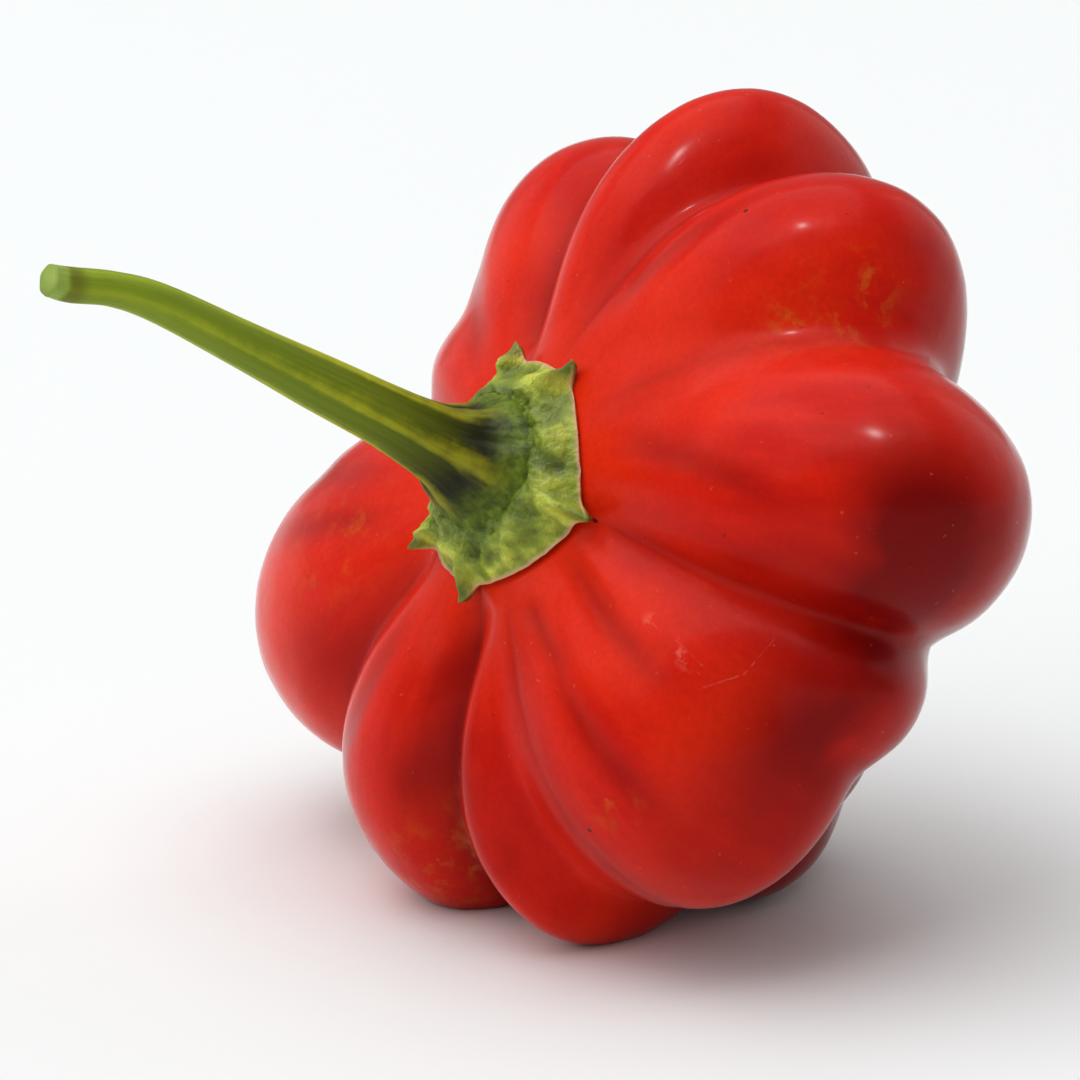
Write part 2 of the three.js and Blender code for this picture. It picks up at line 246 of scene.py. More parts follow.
# The stalk's grain: height, size and the noise's seed, on a tube of this radius, and its share of the radius
STALK_GRAIN = [
    (1.0, 0.8, 5),
    (0.6, 0.3, 7),
]
GRAIN_TUBE = 3
GRAIN_AT_END, GRAIN_AT_FOOT, GRAIN_TINT = 0.02, 0.06, 0.3

# How finely each piece is divided
FRUIT_AROUND, FRUIT_ALONG = 440, 216
CALYX_PER_TOOTH, CALYX_TOP_ROWS, CALYX_UNDER_ROWS = 64, 84, 8
CROWDING = 0.5
STALK_AROUND, STALK_ALONG = 180, 280

# The camera: its place round the object, its distance from the fruit's middle, and how far that middle
# stands right of and above the picture's own middle
CAMERA_AZIMUTH, CAMERA_ELEVATION = -36.8, 17.0
CAMERA_DISTANCE = 300.0
MIDDLE_RIGHT, MIDDLE_ABOVE = 6.14, 1.12
LENS = 179.2
CLIP_START = 0.01

# The studio: the world's strength, half the floor's side, and the lights, each with its direction right, up
# and toward the camera, its distance and size in metres, and its power in watts
WORLD_STRENGTH = 0.26
FLOOR_HALF = 3.0
LIGHTS = [
    ("window", (-0.6, 0.65, 0.45), 2.4, 2.8, 38.0),
    ("ceiling", (-0.05, 1.0, 0.2), 2.4, 3.4, 50.0),
    ("right backdrop", (0.85, 0.3, -0.45), 2.4, 2.4, 12.0),
    ("left backdrop", (-0.85, 0.3, -0.45), 2.4, 2.4, 8.0),
]
# A small lamp that shows in the gloss only
SPARKLE = ("sparkle", (0.15, 0.8, 0.55), 2.0, 0.15, 15.0)

# Colours, as linear red, green, blue and a full alpha: the fruit's
STREAK_RED = (0.57, 0.006, 0.001, 1)
BRIGHT_STREAK_RED = (0.70, 0.013, 0.002, 1)
CLOUD_RED = (0.76, 0.021, 0.003, 1)
SHOULDER_RED = (0.77, 0.024, 0.003, 1)
# partly the skin's own deeper red, partly painted shade on the blossom half
FAR_END_RED_AND_SHADE = (0.24, 0.002, 0.0008, 1)
# painted shade in the furrows and folds
SHADE_IN_FURROWS_RED = (0.12, 0.001, 0.001, 1)
# painted shade on the flanks turned from the light and in the deepest creases
PAINTED_SHADE_RED = (0.19, 0.001, 0.0008, 1)
GRAIN_RED = (0.20, 0.002, 0.001, 1)
UNRIPE_YELLOW = (0.58, 0.17, 0.012, 1)
PALE_SPECK = (0.80, 0.16, 0.08, 1)
DARK_SPECK = (0.12, 0.004, 0.003, 1)
SCRATCH_PINK = (0.90, 0.36, 0.28, 1)
# the painted highlight's pale pink
HIGHLIGHT_PINK = (0.90, 0.22, 0.16, 1)
FLECK_BROWN = (0.012, 0.006, 0.004, 1)
# The calyx's
# Painted shade in its hollows; its pale green on the swellings is partly its own colour, partly painted light
HOLLOW_SHADE_GREEN = (0.045, 0.055, 0.003, 1)
CALYX_GREEN = (0.22, 0.29, 0.014, 1)
SWELLING_PALE_AND_LIT_GREEN = (0.58, 0.65, 0.07, 1)
TIP_GREEN = (0.050, 0.100, 0.004, 1)
RIM_PINK = (0.74, 0.34, 0.22, 1)
ROOT_DARK_GREEN = (0.045, 0.080, 0.002, 1)
ROOT_GREEN = (0.17, 0.24, 0.012, 1)
# The stalk's, from groove to rib at its middle, its end and its foot
MIDDLE_GROOVE, MIDDLE_RIB = (0.140, 0.205, 0.004, 1), (0.44, 0.48, 0.014, 1)
END_GROOVE, END_RIB = (0.190, 0.280, 0.008, 1), (0.30, 0.39, 0.014, 1)
FOOT_GROOVE, FOOT_RIB = (0.012, 0.017, 0.001, 1), (0.27, 0.28, 0.007, 1)
RING_BROWN = (0.100, 0.085, 0.004, 1)
KNOB_GREEN = (0.27, 0.38, 0.060, 1)
CUT_GREEN = (0.38, 0.44, 0.14, 1)
# The floor's
FLOOR_GREY, FLOOR_LIGHT_GREY = (0.80, 0.82, 0.82, 1), (0.82, 0.84, 0.84, 1)


def bell(distance, width):
    return np.exp(-((distance / width) ** 2))


def smoothstep(value, low, high):
    share = np.clip((value - low) / (high - low), 0, 1)
    return share * share * (3 - 2 * share)


def lerp(first, second, share):
    return first + (second - first) * share


def turn_between(start, end):
    return (end - start + 180) % 360 - 180


def polar(turn, out, height):
    """Points from turns in degrees, distances from the axis and heights along it."""
    turn, out, height = np.broadcast_arrays(np.radians(turn), out, height)
    return np.stack([out * np.cos(turn), out * np.sin(turn), height], -1)


def noise_at(points, size, seed):
    """Smooth noise, about -1 to 1, with lumps of a size in millimetres."""
    shift = Vector([step * seed for step in NOISE_SHIFT])
    flat = points.reshape(-1, 3) / size
    values = [noise.noise(Vector(point) + shift) for point in flat]
    return np.array(values).reshape(points.shape[:-1])


def layered_noise(points, layers):
    return sum(height * noise_at(points, size, seed) for height, size, seed in layers)


def egg_distance(points, egg):
    _, turn, out, rise, outward, aside, above, below = egg
    offset = points - polar(turn, out, rise)
    cos, sin = math.cos(math.radians(turn)), math.sin(math.radians(turn))
    half_height = np.where(offset[..., 2] > 0, above, below)
    a = (offset[..., 0] * cos + offset[..., 1] * sin) / outward
    b = (offset[..., 1] * cos - offset[..., 0] * sin) / aside
    c = offset[..., 2] / half_height
    size = np.sqrt(a * a + b * b + c * c)
    slope = np.sqrt((a / outward) ** 2 + (b / aside) ** 2 + (c / half_height) ** 2)
    return (size - 1) * size / np.maximum(slope, 1e-9)


def soft_minimum(distances, blend):
    distances = np.stack(distances)
    least = distances.min(0)
    return least - blend * np.log(np.exp((least - distances) / blend).sum(0))


def fruit_distance(points):
    lobes = soft_minimum([egg_distance(points, lobe) for lobe in LOBES], LOBE_BLEND)
    return soft_minimum([lobes, egg_distance(points, CORE)], CORE_BLEND)


def last_inside(start, toward):
    """The last points inside the fruit on the lines from some points toward others."""
    near = np.zeros(toward.shape[:-1])
    far = np.ones(toward.shape[:-1])
    for _ in range(SEARCH_STEPS):
        middle = (near + far) / 2
        inside = fruit_distance(start + (toward - start) * middle[..., None]) < 0
        near = np.where(inside, middle, near)
        far = np.where(inside, far, middle)
    return start + (toward - start) * near[..., None]


def furrow_reach(angle):
    return smoothstep(angle, START, FULL) * (1 - smoothstep(angle, FADING, GONE))


def furrow_sides(turn, angle, out):
    """For each furrow, how far aside of it the skin is, and the furrow's own depths there."""
    for from_turn, to_turn, shoulder, beyond, crease in FURROWS:
        middle = from_turn + turn_between(from_turn, to_turn) * smoothstep(angle, START, WIDEST)
        aside = out * np.radians(turn_between(middle, turn))
        depth = lerp(shoulder, beyond, smoothstep(angle, WIDEST, BEYOND))
        yield aside, depth, crease


def fruit_skin(turn, angle):
    """The fruit's skin, and the painted shade of furrows and folds on each of its points, from 0 to about 1.
    """
    direction = polar(turn, np.sin(np.radians(angle)), np.cos(np.radians(angle)))
    skin = last_inside(np.zeros(3), direction * FAR_OUT)
    out = np.linalg.norm(skin, axis=-1) * np.sin(np.radians(angle))
    sunk = np.zeros(skin.shape[:-1])
    furrow = np.zeros(skin.shape[:-1])
    for aside, depth, crease in furrow_sides(turn, angle, out):
        sunk += depth * furrow_reach(angle) * bell(aside, FURROW_WIDTH)
        sunk += crease * furrow_reach(angle) * np.exp(-np.abs(aside) / CREASE_WIDTH)
        # Painted shade along the furrow, strongest at its crease
        tint = (FURROW_SHADE + crease) * furrow_reach(angle)
        furrow += tint * np.exp(-np.abs(aside) / (2 * CREASE_WIDTH))
    for from_turn, from_angle, to_turn, to_angle, depth, width in FOLDS:
        share = (angle - from_angle) / (to_angle - from_angle)
        aside = out * np.radians(turn_between(lerp(from_turn, to_turn, np.clip(share, 0, 1)), turn))
        ends = smoothstep(share, -FOLD_FADE, FOLD_FADE) * smoothstep(share, 1 + FOLD_FADE, 1 - FOLD_FADE)
        fold = ends * bell(aside, width)
        sunk += depth * fold
        # Painted shade along the fold
        furrow += FOLD_SHADE * fold
    from_end = 180 - angle
    sunk += DIMPLE_DEPTH * bell(from_end, DIMPLE_WIDTH) - SCAR_HEIGHT * bell(from_end, SCAR_WIDTH)
    sunk += layered_noise(skin, UNEVENNESS)
    return skin - direction * sunk[..., None], furrow


def shoulder_height(turn, out):
    """The height of the fruit's shoulder over points near the axis."""
    return last_inside(polar(turn, out, 0.0), polar(turn, out, FAR_OUT))[..., 2]


def lay_down(points):
    """From the fruit's own frame, in millimetres, to the part's, in metres."""
    tilt = Matrix.Rotation(math.radians(AXIS_RISE - 90), 3, "Y")
    laid = points @ np.array(tilt).T + np.array(RING_CENTRE)
    laid[..., 2] = np.maximum(laid[..., 2], 0)
    return laid * MM


def closed_skin(name, first, rings, last, values, material):
    """A closed piece from rings of points with a point at either end. Values are named numbers, one for
    each point in the same order, that the material reads."""
    around = rings.shape[1]
    points = np.concatenate([first[None], rings.reshape(-1, 3), last[None]])
    k = np.arange(around)
    following = (k + 1) % around
    faces = [(0, 1 + a, 1 + b) for a, b in zip(k, following)]
    for ring in range(len(rings) - 1):
        here = 1 + ring * around
        quads = np.stack([here + k, here + around + k, here + around + following, here + following], 1)
        faces += quads.tolist()
    end = len(points) - 1
    faces += [(end - around + a, end, end - around + b) for a, b in zip(k, following)]
    mesh = bpy.data.meshes.new(name)
    mesh.from_pydata(lay_down(points).tolist(), [], faces)
    for label, numbers in values.items():
        attribute = mesh.attributes.new(label, "FLOAT", "POINT")
        attribute.data.foreach_set("value", numbers.astype(np.float32))
    mesh.polygons.foreach_set("use_smooth", [True] * len(mesh.polygons))
    mesh.materials.append(material)
    mesh.update()
    piece = bpy.data.objects.new(name, mesh)
    bpy.context.scene.collection.objects.link(piece)
    return piece


def with_ends(first, rings, last):
    return np.concatenate([[first], rings.ravel(), [last]])


def patches(turn, angle, places):
    """How strongly each point of the skin lies in soft round patches at some places."""
    strengths = np.zeros(turn.shape)
    for at_turn, at_angle, width, strength in places:
        aside = turn_between(at_turn, turn) * np.sin(np.radians(angle))
        strengths += strength * bell(np.hypot(aside, angle - at_angle), width)
    return strengths


def make_fruit(material):
    turn = np.arange(FRUIT_AROUND) * 360 / FRUIT_AROUND
    angle = np.arange(1, FRUIT_ALONG) * 180 / FRUIT_ALONG
    turn, angle = np.meshgrid(turn, angle)
    skin, furrow = fruit_skin(turn, angle)
    ends, _ = fruit_skin(np.zeros(2), np.array([0.0, 180.0]))
    values = {
        "from_stalk": with_ends(0, angle / 180, 1),
        "turn_cos": with_ends(1, np.cos(np.radians(turn)), 1),
        "turn_sin": with_ends(0, np.sin(np.radians(turn)), 0),
        "furrow": with_ends(0, furrow, 0),
        "unripe": with_ends(0, patches(turn, angle, PATCHES), 0),
        "painted_shade": with_ends(0, patches(turn, angle, PAINTED_SHADE_PARTS), 0),
    }
    return closed_skin("fruit_skin", ends[0], skin, ends[1], values, material)


def calyx_columns():
    """Each column's turn, rim distance, curl, and how much of a tooth's horn it holds."""
    columns = []
    for index, (turn, reach, curl, rim_after) in enumerate(TEETH):
        next_turn, next_reach, next_curl, _ = TEETH[(index + 1) % len(TEETH)]
        span = (next_turn - turn) % 360
        for step in range(CALYX_PER_TOOTH):
            even = step / CALYX_PER_TOOTH
            share = even - CROWDING * math.sin(2 * math.pi * even) / (2 * math.pi)
            near_reach, near_curl = (reach, curl) if share < 0.5 else (next_reach, next_curl)
            from_middle = abs(2 * share - 1)
            horn = bell(near_reach * math.radians(span * (1 - from_middle) / 2), HORN_WIDTH)
            rim = lerp(rim_after, near_reach - HORN_LENGTH, from_middle ** 2) + HORN_LENGTH * horn
            columns.append((turn + span * share, rim, near_curl * horn, horn))
    return np.array(columns).T


def calyx_relief(turn, out):
    relief = np.zeros(np.broadcast(turn, out).shape)
    for tooth_turn, _, _, _ in TEETH:
        away = np.radians(turn_between(tooth_turn, turn))
        relief += np.where(np.cos(away) > 0, RIDGE_HEIGHT * bell(out * np.sin(away), RIDGE_WIDTH), 0)
    here = polar(turn, out, 0.0)
    for at_turn, at_out, width, height in SWELLINGS:
        distance = np.linalg.norm(here - polar(at_turn, at_out, 0.0), axis=-1)
        relief += height * bell(distance, width)
    return relief


def make_calyx(material):
    turn, rim, curl, horn = calyx_columns()
    top_shares = np.linspace(TOP_START, 1, CALYX_TOP_ROWS)[:, None]
    under_shares = np.linspace(UNDER_START, UNDER_END, CALYX_UNDER_ROWS)[:, None]
    seat = shoulder_height(0.0, 0.0) + CALYX_GAP + SEAT_HEIGHT

    out = rim * top_shares
    skin = shoulder_height(np.broadcast_to(turn, out.shape), out)
    lumps = layered_noise(polar(turn, out, 0.0), LUMPS)
    skirt = skin + CALYX_GAP + CALYX_SKIRT + calyx_relief(turn, out)
    top = lerp(skirt, seat, bell(np.maximum(out - SEAT_RADIUS, 0), BOSS_FALL))
    rim_top = skin + HUG + CALYX_RIM + HORN_HEIGHT * horn
    top = lerp(top, rim_top, smoothstep(top_shares, THIN_FROM, 1))
    top += curl * smoothstep(top_shares, CURL_FROM, 1)
    sink = lerp(1.0, LUMPS_AT_RIM, smoothstep(top_shares, LUMPS_SINK_FROM, 1))
    top += lumps * smoothstep(out, LUMPS_START, LUMPS_FULL) * sink
    top_rows = polar(turn, out, top)

    under_out = rim * under_shares
    under = shoulder_height(np.broadcast_to(turn, under_out.shape), under_out) + HUG
    under += curl * smoothstep(under_shares, CURL_FROM, 1)
    under_rows = polar(turn, under_out, under)

    rings = np.concatenate([top_rows, under_rows])
    shares = np.broadcast_to(np.concatenate([top_shares, under_shares]), rings.shape[:2])
    # The relief also sets the calyx's painted shade in hollows and painted light on swellings
    reliefs = np.concatenate([calyx_relief(turn, out) + LUMP_SHADING * lumps, np.zeros(under_out.shape)])
    outs = np.concatenate([out, under_out])
    values = {
        "from_axis": with_ends(0, outs / CALYX_SIZE, 0),
        "relief": with_ends(0, reliefs, 0),
        "tooth": with_ends(0, horn * smoothstep(shares, TIP_FROM, TIP_FULL), 0),
        "rim": with_ends(0, smoothstep(shares, RIM_FROM, 1) * (1 - horn), 1),
    }
    first = np.array([0.0, 0.0, seat])
    last = np.array([0.0, 0.0, seat - SEAT_HEIGHT])
    return closed_skin("calyx_cap", first, rings, last, values, material)


def smooth_line(points, share):
    """Points on an evenly stepped Catmull-Rom curve through some points, and its direction there."""
    points = np.array(points, float)
    ends = np.concatenate([[2 * points[0] - points[1]], points, [2 * points[-1] - points[-2]]])
    place = np.clip(share * (len(points) - 1), 0, len(points) - 1 - 1e-9)
    index = place.astype(int)
    t = (place - index)[:, None]
    a, b, c, d = (ends[index + step] for step in range(4))
    at = 0.5 * (2 * b + (c - a) * t + (2 * a - 5 * b + 4 * c - d) * t**2 + (3 * b - a - 3 * c + d) * t**3)
    way = 0.5 * ((c - a) + 2 * (2 * a - 5 * b + 4 * c - d) * t + 3 * (3 * b - a - 3 * c + d) * t**2)
    return at, way / np.linalg.norm(way, axis=1, keepdims=True)


def make_stalk(material):
    foot = shoulder_height(0.0, 0.0) + CALYX_GAP + SEAT_HEIGHT + CALYX_GAP
    share = np.linspace(1, 0, STALK_ALONG + 1)
    line, way = smooth_line([(lean, 0, foot + height) for height, lean, _ in STALK], share)
    radii, _ = smooth_line([(radius, 0, 0) for _, _, radius in STALK], share)
    up_the_stalk = line[:, 2] - foot
    root = bell(np.maximum(up_the_stalk, 0), ROOT_DEPTH)
    line[:, 2] -= ROOT_DEPTH * root
    radii[:, 0] += (ROOT_RADIUS - STALK[0][2]) * root
    sideways = np.array([0.0, 1.0, 0.0])
    upward = np.cross(sideways, way)
    turn = np.arange(STALK_AROUND) * 360 / STALK_AROUND
    nearest = np.min([np.abs(turn_between(tooth[0], turn)) for tooth in TEETH], axis=0)
    rib = bell(nearest, RIB_WIDTH) - 0.5
    strength = lerp(RIB_AT_END, RIB_AT_FOOT, (1 - share) ** 4)
    strength = strength * smoothstep(up_the_stalk, RIBS_START, RIBS_FULL)
    radius = radii[:, :1] * (1 + strength[:, None] * rib)
    cos, sin = np.cos(np.radians(turn)), np.sin(np.radians(turn))
    tube = np.stack(np.broadcast_arrays(cos, sin, share[:, None]), -1) * GRAIN_TUBE
    grain = layered_noise(tube, STALK_GRAIN)
    radius = radius * (1 + lerp(GRAIN_AT_END, GRAIN_AT_FOOT, (1 - share) ** 3)[:, None] * grain)
    rings = line[:, None] + upward[:, None] * (radius * cos)[..., None] + sideways * (radius * sin)[..., None]
    along = np.broadcast_to(share[:, None], radius.shape)
    values = {
        "along": with_ends(1, along, 0),
        "rib": with_ends(0.5, rib + 0.5 + GRAIN_TINT * grain, 0.5),
        "height": with_ends(up_the_stalk[0], np.broadcast_to(up_the_stalk[:, None], radius.shape), 0),
        "end_face": with_ends(1, np.zeros(along.shape), 0),
    }
    cut = line[0] - way[0] * CUT_DISH
    return closed_skin("stalk", cut, rings, line[-1], values, material)


class Nodes:
    """A small helper that makes and joins the nodes of one material."""

    def __init__(self, name):
        self.material = bpy.data.materials.new(name)
        self.material.use_nodes = True
        self.tree = self.material.node_tree
        self.shader = self.tree.nodes["Principled BSDF"]

    def add(self, kind, settings=None, **inputs):
        """A node's first output. An input goes by its name, or by its number after an i."""
        node = self.tree.nodes.new(kind)
        for key, value in (settings or {}).items():
            setattr(node, key, value)
        for key, value in inputs.items():
            socket = node.inputs[int(key[1:])] if key[0] == "i" and key[1:].isdigit() else node.inputs[key]
            self.feed(socket, value)
        return node.outputs[0]

    def feed(self, socket, value):
        if isinstance(value, bpy.types.NodeSocket):
            self.tree.links.new(value, socket)
        else:
            socket.default_value = value

    def shape(self, label):
        return self.add("ShaderNodeAttribute", {"attribute_name": label}).node.outputs["Fac"]

    def math(self, operation, first, second=0.0):
        return self.add("ShaderNodeMath", {"operation": operation}, i0=first, i1=second)

    def between(self, value, low, high):
        """A value's place between two others, from 0 to 1, eased at both ends."""
        node = self.tree.nodes.new("ShaderNodeMapRange")
        node.interpolation_type = "SMOOTHSTEP"
        self.feed(node.inputs["Value"], value)
        self.feed(node.inputs["From Min"], low)
        self.feed(node.inputs["From Max"], high)
        return node.outputs["Result"]

    def mix(self, share, first, second):
        node = self.tree.nodes.new("ShaderNodeMix")
        node.data_type = "RGBA"
        colour_inputs = [socket for socket in node.inputs if socket.type == "RGBA"]
        self.feed(node.inputs["Factor"], share)
        for socket, value in zip(colour_inputs, (first, second)):
            self.feed(socket, value)
        return next(socket for socket in node.outputs if socket.type == "RGBA")

    def tint(self, colour, mask, strength, other):
        """A colour, turned toward another by a strength where a mask is 1."""
        return self.mix(self.math("MULTIPLY", mask, strength), colour, other)

    def noise(self, scale, detail=3.0, roughness=0.5, vector=None):
        node = self.tree.nodes.new("ShaderNodeTexNoise")
        self.feed(node.inputs["Vector"], vector or self.place())
        self.feed(node.inputs["Scale"], scale)
        self.feed(node.inputs["Detail"], detail)
        self.feed(node.inputs["Roughness"], roughness)
        return node.outputs["Fac"]

    def place(self):
        return self.add("ShaderNodeTexCoord").node.outputs["Object"]

    def bump(self, height, distance, strength=1.0, normal=None):
        node = self.tree.nodes.new("ShaderNodeBump")
        self.feed(node.inputs["Height"], height)
        self.feed(node.inputs["Distance"], distance)
        self.feed(node.inputs["Strength"], strength)
        if normal:
            self.feed(node.inputs["Normal"], normal)
        return node.outputs["Normal"]

    def vector(self, operation, output, **inputs):
        return self.add("ShaderNodeVectorMath", {"operation": operation}, **inputs).node.outputs[output]

    def from_line(self, start, end):
        """The distance from the line between two places, given in millimetres, in metres."""
        start, end = Vector(start) * MM, Vector(end) * MM
        way = end - start
        rest = self.vector("SUBTRACT", "Vector", i0=self.place(), i1=start)
        along = self.vector("DOT_PRODUCT", "Value", i0=rest, i1=way / way.length_squared)
        foot = self.vector("SCALE", "Vector", i0=way, Scale=self.add("ShaderNodeClamp", Value=along))
        return self.vector("DISTANCE", "Value", i0=rest, i1=foot)

    def marks(self, lines, half_width, softness):
        """1 on some lines of a half width in millimetres, falling to 0 over a softness."""
        nearest = None
        for start, end in lines:
            distance = self.from_line(start, end)
            nearest = self.math("MINIMUM", nearest, distance) if nearest else distance
        return self.between(nearest, (half_width + softness) * MM, half_width * MM)

    def finish(self, **inputs):
        for key, value in inputs.items():
            self.feed(self.shader.inputs[key.replace("_", " ")], value)
        return self.material


def ripe_red(nodes, clouds):
    """Red in streaks that run along the fruit, darker toward the blossom end partly as painted shade, with
    painted shade in the furrows and on the flanks turned from the light.
    """
    from_stalk = nodes.shape("from_stalk")
    streak_place = nodes.add(
        "ShaderNodeCombineXYZ",
        i0=nodes.shape("turn_cos"),
        i1=nodes.shape("turn_sin"),
        i2=nodes.math("MULTIPLY", from_stalk, 0.9),
    )
    streaks = nodes.noise(7.0, 4.0, 0.6, streak_place)
    red = nodes.mix(nodes.between(streaks, 0.35, 0.65), STREAK_RED, BRIGHT_STREAK_RED)
    red = nodes.mix(nodes.between(clouds, 0.42, 0.72), red, CLOUD_RED)
    red = nodes.mix(nodes.between(from_stalk, 0.36, 0.1), red, SHOULDER_RED)
    # Darker toward the blossom end: partly the skin's own deeper red, partly painted shade
    red = nodes.mix(nodes.between(from_stalk, 0.45, 0.66), red, FAR_END_RED_AND_SHADE)
    # Painted shade in the furrows and folds
    red = nodes.tint(red, nodes.shape("furrow"), 1.1, SHADE_IN_FURROWS_RED)
    # Painted shade on the flanks turned from the light and in the creases, broken up by the clouds
    painted_shade = nodes.math("MULTIPLY", nodes.shape("painted_shade"), nodes.between(clouds, 0.2, 0.6))
    return nodes.tint(red, painted_shade, 0.85, PAINTED_SHADE_RED)


def with_specks(nodes, red):
    grain = nodes.between(nodes.noise(2900.0, 2.0, 0.7), 0.3, 0.7)
    red = nodes.tint(red, grain, 0.14, GRAIN_RED)
    pale_specks = nodes.between(nodes.noise(2300.0, 1.0), 0.755, 0.80)
    red = nodes.tint(red, pale_specks, 0.22, PALE_SPECK)
    dark_specks = nodes.between(nodes.noise(1700.0, 1.0), 0.215, 0.17)
    return nodes.tint(red, dark_specks, 0.5, DARK_SPECK)


def with_marks_and_highlight(nodes, red, blotches):
    broken = nodes.between(nodes.noise(2600.0, 2.0), 0.38, 0.56)
    scratches = nodes.math("MULTIPLY", nodes.marks(SCRATCHES, 0.008, 0.07), broken)
    red = nodes.tint(red, scratches, 0.13, SCRATCH_PINK)
    # A painted highlight on the lower side lobe, broken up by the blotches
    painted_highlight = nodes.math("MULTIPLY", nodes.marks(PAINTED_HIGHLIGHTS, 0.0, 0.8), nodes.between(blotches, 0.1, 0.9))
    red = nodes.tint(red, painted_highlight, 0.4, HIGHLIGHT_PINK)
    return nodes.tint(red, nodes.marks(DARK_FLECKS, 0.07, 0.06), 0.92, FLECK_BROWN)


def skin_material():
    nodes = Nodes("waxy red skin")
    clouds = nodes.noise(95.0, 3.0, 0.55)
    blotches = nodes.between(nodes.noise(620.0, 4.0, 0.65), 0.48, 0.68)
    unripe = nodes.math("MULTIPLY", nodes.shape("unripe"), blotches)
    red = nodes.tint(ripe_red(nodes, clouds), unripe, 0.6, UNRIPE_YELLOW)
    red = with_marks_and_highlight(nodes, with_specks(nodes, red), blotches)
    pores = nodes.noise(3800.0, 2.0)
    swells = nodes.noise(260.0, 2.0)
    normal = nodes.bump(swells, 0.00022, 0.4, nodes.bump(pores, 0.00003, 0.35))
    uneven_gloss = nodes.noise(330.0, 3.0)
    roughness = nodes.add("ShaderNodeMapRange", Value=uneven_gloss, i3=0.34, i4=0.5)
    edge_on = nodes.add("ShaderNodeLayerWeight", Blend=0.5).node.outputs["Facing"]
    wax = nodes.math("ADD", nodes.math("POWER", edge_on, 3.2), 0.08)
    return nodes.finish(
        Base_Color=red,
        Roughness=roughness,
        Normal=normal,
        Specular_IOR_Level=0.05,
        Coat_Weight=wax,
        Coat_Roughness=0.17,
    )


def root_green(nodes):
    """The mottled dark green where the stalk runs into the calyx."""
    spots = nodes.between(nodes.noise(1500.0, 3.0, 0.65), 0.3, 0.75)
    return nodes.mix(spots, ROOT_DARK_GREEN, ROOT_GREEN)


def calyx_material():
    nodes = Nodes("bumpy pale green calyx")
    mottle = nodes.noise(1100.0, 4.0, 0.6)
    uneven = nodes.math("MULTIPLY", nodes.math("SUBTRACT", mottle, 0.5), 0.8)
    height = nodes.math("ADD", nodes.shape("relief"), uneven)
    # By the height of the relief: painted shade in the hollows, and a pale green on the swellings that is
    # partly painted light
    green = nodes.mix(nodes.between(height, -0.8, 0.15), HOLLOW_SHADE_GREEN, CALYX_GREEN)
    green = nodes.mix(nodes.between(height, -0.05, 0.65), green, SWELLING_PALE_AND_LIT_GREEN)
    inner = nodes.between(nodes.shape("from_axis"), 0.82, 0.56)
    green = nodes.tint(green, inner, 0.9, root_green(nodes))
    green = nodes.tint(green, nodes.shape("tooth"), 0.85, TIP_GREEN)
    green = nodes.tint(green, nodes.shape("rim"), 0.8, RIM_PINK)
    normal = nodes.bump(nodes.noise(3200.0, 3.0), 0.00008, 0.7)
    normal = nodes.bump(mottle, 0.0004, 0.8, normal)
    return nodes.finish(Base_Color=green, Roughness=0.48, Specular_IOR_Level=0.4, Normal=normal)


def stalk_material():
    nodes = Nodes("ribbed green stalk")
    along = nodes.shape("along")
    mottle = nodes.noise(700.0, 4.0, 0.6)
    uneven = nodes.math("MULTIPLY", nodes.math("SUBTRACT", mottle, 0.5), 0.7)
    rib = nodes.math("ADD", nodes.shape("rib"), uneven)
    green = nodes.mix(nodes.between(rib, 0.5, 1.25), MIDDLE_GROOVE, MIDDLE_RIB)
    plain = nodes.mix(nodes.between(rib, 0.0, 1.3), END_GROOVE, END_RIB)
    green = nodes.mix(nodes.between(along, 0.45, 0.8), green, plain)
    dark = nodes.mix(nodes.between(rib, 0.5, 1.2), FOOT_GROOVE, FOOT_RIB)
    green = nodes.mix(nodes.between(along, 0.50, 0.2), green, dark)
    green = nodes.mix(nodes.between(nodes.shape("height"), 1.9, 0.1), green, root_green(nodes))
    ring = nodes.math("MULTIPLY", nodes.between(along, 0.86, 0.91), nodes.between(along, 0.955, 0.925))
    green = nodes.tint(green, ring, 0.6, RING_BROWN)
    green = nodes.mix(nodes.between(along, 0.935, 0.965), green, KNOB_GREEN)
    green = nodes.tint(green, nodes.shape("end_face"), 0.4, CUT_GREEN)
    normal = nodes.bump(nodes.noise(2600.0, 3.0), 0.00006, 0.6)
    return nodes.finish(Base_Color=green, Roughness=0.5, Specular_IOR_Level=0.2, Normal=normal)


def floor_material():
    nodes = Nodes("plain pale floor")
    tone = nodes.mix(nodes.noise(3.0), FLOOR_GREY, FLOOR_LIGHT_GREY)
    return nodes.finish(Base_Color=tone, Roughness=0.9)


def make_floor():
    half = FLOOR_HALF
    mesh = bpy.data.meshes.new("floor")
    corners = [(-half, -half, 0), (half, -half, 0), (half, half, 0), (-half, half, 0)]
    mesh.from_pydata(corners, [], [(0, 1, 2, 3)])
    mesh.materials.append(floor_material())
    floor = bpy.data.objects.new("floor", mesh)
    bpy.context.scene.collection.objects.link(floor)


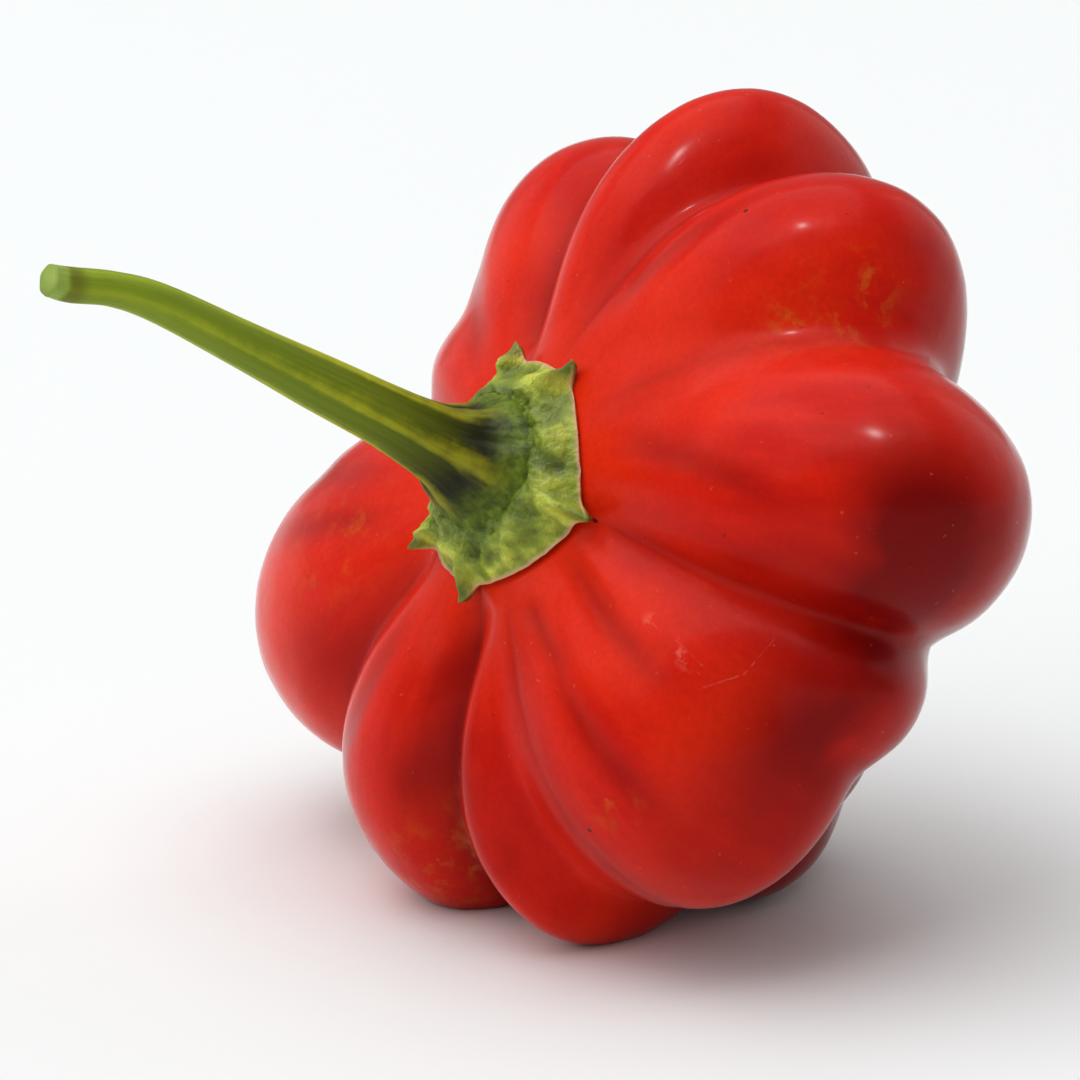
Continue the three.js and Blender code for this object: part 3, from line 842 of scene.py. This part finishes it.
def camera_axes():
    """The picture's directions right, up and back toward the camera."""
    azimuth, elevation = math.radians(CAMERA_AZIMUTH), math.radians(CAMERA_ELEVATION)
    right = Vector((math.cos(azimuth), math.sin(azimuth), 0))
    flat = Vector((math.sin(azimuth), -math.cos(azimuth), 0))
    back = flat * math.cos(elevation) + Vector((0, 0, math.sin(elevation)))
    return right, back.cross(right), back


def make_camera():
    right, up, back = camera_axes()
    camera = bpy.data.objects.new("camera", bpy.data.cameras.new("camera"))
    bpy.context.scene.collection.objects.link(camera)
    aim = RING_CENTRE - right * MIDDLE_RIGHT - up * MIDDLE_ABOVE
    place = (aim + back * CAMERA_DISTANCE) * MM
    camera.matrix_world = Matrix.Translation(place) @ Matrix((right, up, back)).transposed().to_4x4()
    camera.data.lens = LENS
    camera.data.clip_start = CLIP_START
    bpy.context.scene.camera = camera


def area_light(name, direction, distance, size, power):
    """A soft square light that faces the fruit, at a direction given as right, up and toward the camera."""
    right, up, back = camera_axes()
    way = (right * direction[0] + up * direction[1] + back * direction[2]).normalized()
    light = bpy.data.lights.new(name, "AREA")
    light.size = size
    light.energy = power
    lamp = bpy.data.objects.new(name, light)
    bpy.context.scene.collection.objects.link(lamp)
    lamp.location = RING_CENTRE * MM + way * distance
    lamp.rotation_euler = way.to_track_quat("Z", "Y").to_euler()
    return lamp


def make_lights():
    world = bpy.data.worlds.new("pale studio")
    world.use_nodes = True
    world.node_tree.nodes["Background"].inputs["Color"].default_value = (1, 1, 1, 1)
    world.node_tree.nodes["Background"].inputs["Strength"].default_value = WORLD_STRENGTH
    bpy.context.scene.world = world
    for light in LIGHTS:
        area_light(*light)
    area_light(*SPARKLE).visible_diffuse = False


make_camera()
make_lights()
make_floor()

for make, material, node, slot in (
    (make_fruit, skin_material(), "fruit", "fruit_skin"),
    (make_calyx, calyx_material(), "calyx", "calyx_flesh"),
    (make_stalk, stalk_material(), "pedicel", "stalk_skin"),
):
    piece = make(material)
    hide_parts(node)
    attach(piece, "root")

bpy.context.scene.view_settings.view_transform = "Standard"
